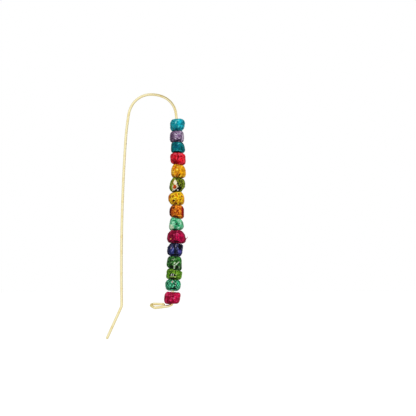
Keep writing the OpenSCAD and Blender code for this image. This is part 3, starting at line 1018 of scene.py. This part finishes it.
            (BLACK, (-1.41, -0.29), (0.3, 0.66), -14, 1, "patch", 0.4),
            (BLACK, (-0.51, -0.17), (0.27, 0.6), -8, 1, "patch", 0.4),
            (BLACK, (0.18, -0.21), (0.28, 0.46), 0, 1, "patch", 0.5),
            (BLACK, (0.55, -0.41), (0.42, 0.36), 0, 1, "patch", 0.7),
            ((32, 60, 4), (-1.76, 1.07), (0.23, 0.5), -30, 0.88),
            ((26, 50, 4), (0.66, 1.2), (0.24, 0.45), 0, 0.9),
            # Painted shade where this bead meets the one below.
            (BLACK, (-0.08, -1.65), (1.4, 0.5), 0, 0.99),
        ),
    ),
    look_of(
        "bead_14_emerald", "cloth_emerald",
        ((0, 60, 34), (4, 124, 78), (40, 170, 118)),
        flecks=(
            ((0, 36, 20), (2.6, 2.6), 0, 0.6, 0.85), ((40, 216, 150), (2.6, 2), 0, 0.63, 0.6),
        ),
        marks=(
            ((226, 172, 166), (-0.37, 1.53), (0.4, 0.45), -15, 0.95),
            (BLACK, (0.9, 1.28), (0.36, 0.34), 0, 1, "patch", 0.4),
            (WHITE, (1.07, 0.83), (0.18, 0.2), 0, 0.7, "patch", 0.6),
            (BLACK, (0.74, 0.37), (0.34, 0.36), 0, 1, "patch", 0.4),
            (WHITE, (0.86, 0.04), (0.18, 0.2), 0, 0.7, "patch", 0.6),
            (BLACK, (0.66, -0.7), (0.34, 0.36), 0, 1, "patch", 0.6),
            (BLACK, (0.43, 1.86), (0.4, 0.23), 0, 0.9),
            (WHITE, (0.43, -1.16), (0.18, 0.18), 0, 0.6, "patch", 0.6),
            ((10, 190, 130), (2.16, 0.78), (0.6, 0.9), 0, 0.5),
            # Painted shade where this bead meets the one below.
            ((0, 18, 12), (0.12, -1.36), (1.6, 0.4), 0, 0.98),
        ),
        net=((112, 220, 172), 1.0, 43, 1.0),
    ),
    look_of(
        "bead_15_magenta", "cloth_magenta",
        ((150, 0, 38), (208, 8, 70), (236, 60, 118)),
        flecks=(
            ((226, 104, 146), (2.8, 1.2), 25, 0.62, 0.6), ((96, 0, 28), (2.6, 1.6), -15, 0.6, 0.75),
        ),
        marks=(
            ((226, 12, 84), (1.69, -0.74), (0.9, 1.4), 0, 0.5),
            ((116, 0, 32), (-1.48, -1.2), (0.8, 0.7), 0, 0.55),
            ((236, 108, 154), (0.62, -0.12), (0.42, 0.33), 20, 0.85),
            ((218, 66, 114), (-0.33, 1.2), (1.1, 0.25), 10, 0.65),
            ((84, 0, 26), (0.04, 0.62), (0.22, 0.8), 60, 0.7),
            ((100, 0, 28), (-0.15, 1.94), (1.5, 0.25), 0, 0.65),
            ((90, 0, 22), (-0.62, -1.86), (0.5, 0.34), 0, 0.8),
        ),
        foot=0.2,
    ),
)


# Studio: a pale floor, one large soft light above the camera and to the right of it, and a soft surround
# that is brighter above. Sizes and places are in millimetres, the power is in watts, and the dark corner
# is a direction. The last rows are the surround's light: as the camera sees it, as the cloth gets it from
# below and above, and as the wire reflects it from below, above, behind and the dark corner.
FLOOR_DROP = 60
FLOOR_R = 3000
FLOOR_PAINT = (247, 247, 246)
KEY_PLACE = (190, -350, 90)
KEY_AIM = (0, 0, -50)
KEY_SIZE = 260
KEY_POWER = 1.24
DARK_CORNER = (0.33, -0.68, 0.66)
SEEN_LIGHT = (1, 1, 1, 1)
CLOTH_BELOW, CLOTH_ABOVE = (0.34, 0.34, 0.35, 1), (1.17, 1.17, 1.17, 1)
WIRE_BELOW, WIRE_ABOVE = (0.84, 0.82, 0.76, 1), (1.03, 1.02, 1.0, 1)
WIRE_BEHIND, WIRE_CORNER = (0.58, 0.54, 0.32, 1), (0.1, 0.06, 0.02, 1)


def make_floor():
    low, _ = cad_box
    bm = bmesh.new()
    bmesh.ops.create_circle(bm, cap_ends=True, segments=64, radius=FLOOR_R * MM)
    bmesh.ops.translate(bm, vec=(0, 0, low.z - FLOOR_DROP * MM), verts=bm.verts)
    pale = Finish("pale_floor", Roughness=0.9, Specular_IOR_Level=0.0)
    pale.feed(pale.shader, {"Base Color": rgb(*FLOOR_PAINT)})
    floor = finish_mesh(bm, "floor", pale.material)
    floor.visible_diffuse = False
    floor.visible_glossy = False


def hang_key_light():
    light = bpy.data.lights.new("key", "AREA")
    light.size, light.energy = KEY_SIZE * MM, KEY_POWER
    lamp = bpy.data.objects.new("key", light)
    lamp.location = Vector(KEY_PLACE) * MM
    way = Vector(KEY_AIM) * MM - lamp.location
    lamp.rotation_euler = way.to_track_quat("-Z", "Y").to_euler()
    lamp.visible_glossy = False
    bpy.context.scene.collection.objects.link(lamp)


def light_room():
    """White to the camera. The cloth is lit mostly from above. The wire reflects a pale room in which
    only the wall behind it and one high corner in front, on the right, are darker."""
    scene = bpy.context.scene
    scene.view_settings.view_transform = "Standard"
    scene.world = bpy.data.worlds.new("studio")
    scene.world.use_nodes = True
    air = Nodes(scene.world.node_tree)
    way = air.make("ShaderNodeTexCoord")
    _, back, up = air.split(way)
    seen = air.make("ShaderNodeLightPath")
    shiny = Link(air, seen.socket.node.outputs["Is Glossy Ray"])
    corner = air.make("ShaderNodeVectorMath", {"operation": "DOT_PRODUCT"}, {0: way, 1: DARK_CORNER}, out=1)
    glow = air.mix(air.ease(up, -0.9, 0.8), CLOTH_BELOW, CLOTH_ABOVE)
    room = air.mix(air.ease(up, -1.0, 0.6), WIRE_BELOW, WIRE_ABOVE)
    room = air.mix(0.9 * air.ease(back, -0.3, 0.3), room, WIRE_BEHIND)
    room = air.mix(0.95 * air.ease(corner, 0.86, 0.96), room, WIRE_CORNER)
    glow = air.mix(seen, air.mix(shiny, glow, room), SEEN_LIGHT)
    air.feed(scene.world.node_tree.nodes["Background"], {"Color": glow})


place_camera()
make_wire()
for bead_look in LOOKS:
    make_bead(bead_look)
make_floor()
light_room()
hang_key_light()
